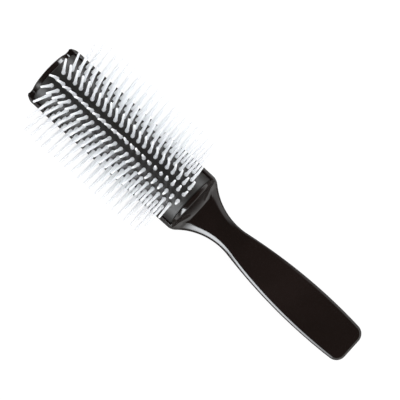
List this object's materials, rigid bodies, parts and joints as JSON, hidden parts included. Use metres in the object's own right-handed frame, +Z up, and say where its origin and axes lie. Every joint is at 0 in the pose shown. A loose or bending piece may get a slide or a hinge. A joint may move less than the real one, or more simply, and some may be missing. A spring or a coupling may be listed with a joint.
{
  "type": "styling brush",
  "caption": "Straight styling brush: hollow half-round head, rows of fanned pins in a curved rubber pad, flat waisted handle.",
  "frame": {"origin": "on the surface that the brush lies on, under the middle of its length", "axes": "+X from the tip of the head to the end of the handle, +Y across the brush, +Z up along the middle row of pins"},
  "size_m": [0.2202, 0.0626, 0.0416],
  "materials": {
    "body_plastic": "moulded, polished, near-black brown",
    "pad_rubber": "moulded, satin, charcoal",
    "pin_nylon": "moulded, translucent white nylon, rounded tips"
  },
  "bodies": {
    "root": {"body": "body_plastic", "pin_pad": "pad_rubber", "pin_row_centre": "pin_nylon", "pin_row_right_1": "pin_nylon", "pin_row_right_2": "pin_nylon", "pin_row_right_3": "pin_nylon", "pin_row_right_4": "pin_nylon", "pin_row_left_1": "pin_nylon", "pin_row_left_2": "pin_nylon", "pin_row_left_3": "pin_nylon", "pin_row_left_4": "pin_nylon"}
  },
  "joints": []
}
